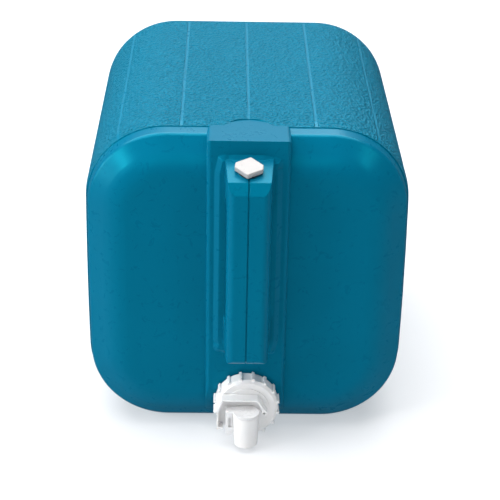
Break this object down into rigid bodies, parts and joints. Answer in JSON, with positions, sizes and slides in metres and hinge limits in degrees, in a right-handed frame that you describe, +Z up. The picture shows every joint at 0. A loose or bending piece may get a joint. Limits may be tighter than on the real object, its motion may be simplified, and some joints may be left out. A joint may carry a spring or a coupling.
{
  "type": "beverage dispenser jug",
  "caption": "Rigid plastic water jug lying on its side, with a handle bar down the front, a vent screw on top of the bar and a turning tap on a screw cap at the foot.",
  "frame": {"origin": "on the resting surface, under the middle of the whole object's bounding box", "axes": "+Z up with the jug lying in its dispensing position, -Y towards the front with the handle bar and tap, +X to the right as seen from the front"},
  "size_m": [0.27, 0.3568, 0.27],
  "materials": {
    "jug_plastic": "semi-matt moulded plastic, pebbled on the band",
    "cap_plastic": "satin moulded plastic",
    "tap_plastic": "satin moulded plastic",
    "valve_plastic": "satin to gloss moulded plastic",
    "vent_plastic": "satin moulded plastic",
    "clip_plastic": "natural moulded plastic",
    "seal_rubber": "soft matt rubber"
  },
  "bodies": {
    "jug": {"jug_shell": "jug_plastic"},
    "tap": {"tap_body": "tap_plastic", "barrel_o_ring": "seal_rubber", "barrel_clip": "clip_plastic", "port_seal": "seal_rubber"},
    "cap": {"screw_cap": "cap_plastic", "cap_gasket": "seal_rubber"},
    "valve": {"valve_plug": "valve_plastic", "plug_o_ring_upper": "seal_rubber", "plug_o_ring_lower": "seal_rubber", "plug_clip": "clip_plastic"},
    "vent_washer": {"vent_gasket": "seal_rubber"},
    "vent_knob": {"vent_cap": "vent_plastic"}
  },
  "joints": [
    {"name": "tap_slide", "type": "slide", "parent": "jug", "child": "tap", "axis": [0, -1, 0], "range_m": [0, 0.0096]},
    {"name": "cap_turn", "type": "hinge", "parent": "tap", "child": "cap", "pos_m": [0.0015, -0.149, 0.0315], "axis": [0, -1, 0], "range_deg": [0, 570]},
    {"name": "valve_turn", "type": "hinge", "parent": "tap", "child": "valve", "pos_m": [0.0011, -0.1674, 0.03], "axis": [0, 0, 1], "range_deg": [0, 90]},
    {"name": "vent_slide", "type": "slide", "parent": "jug", "child": "vent_washer", "axis": [0, -0.3587, 0.9334], "range_m": [0, 0.006]},
    {"name": "vent_turn", "type": "hinge", "parent": "vent_washer", "child": "vent_knob", "pos_m": [0, -0.1548, 0.25018], "axis": [0, -0.3587, 0.9334], "range_deg": [0, 725]}
  ],
  "couplings": [
    {"joint": "tap_slide", "follows": "cap_turn", "m_per_rad": 0.00095493},
    {"joint": "vent_turn", "follows": "vent_slide", "rad_per_m": 2094.4}
  ]
}
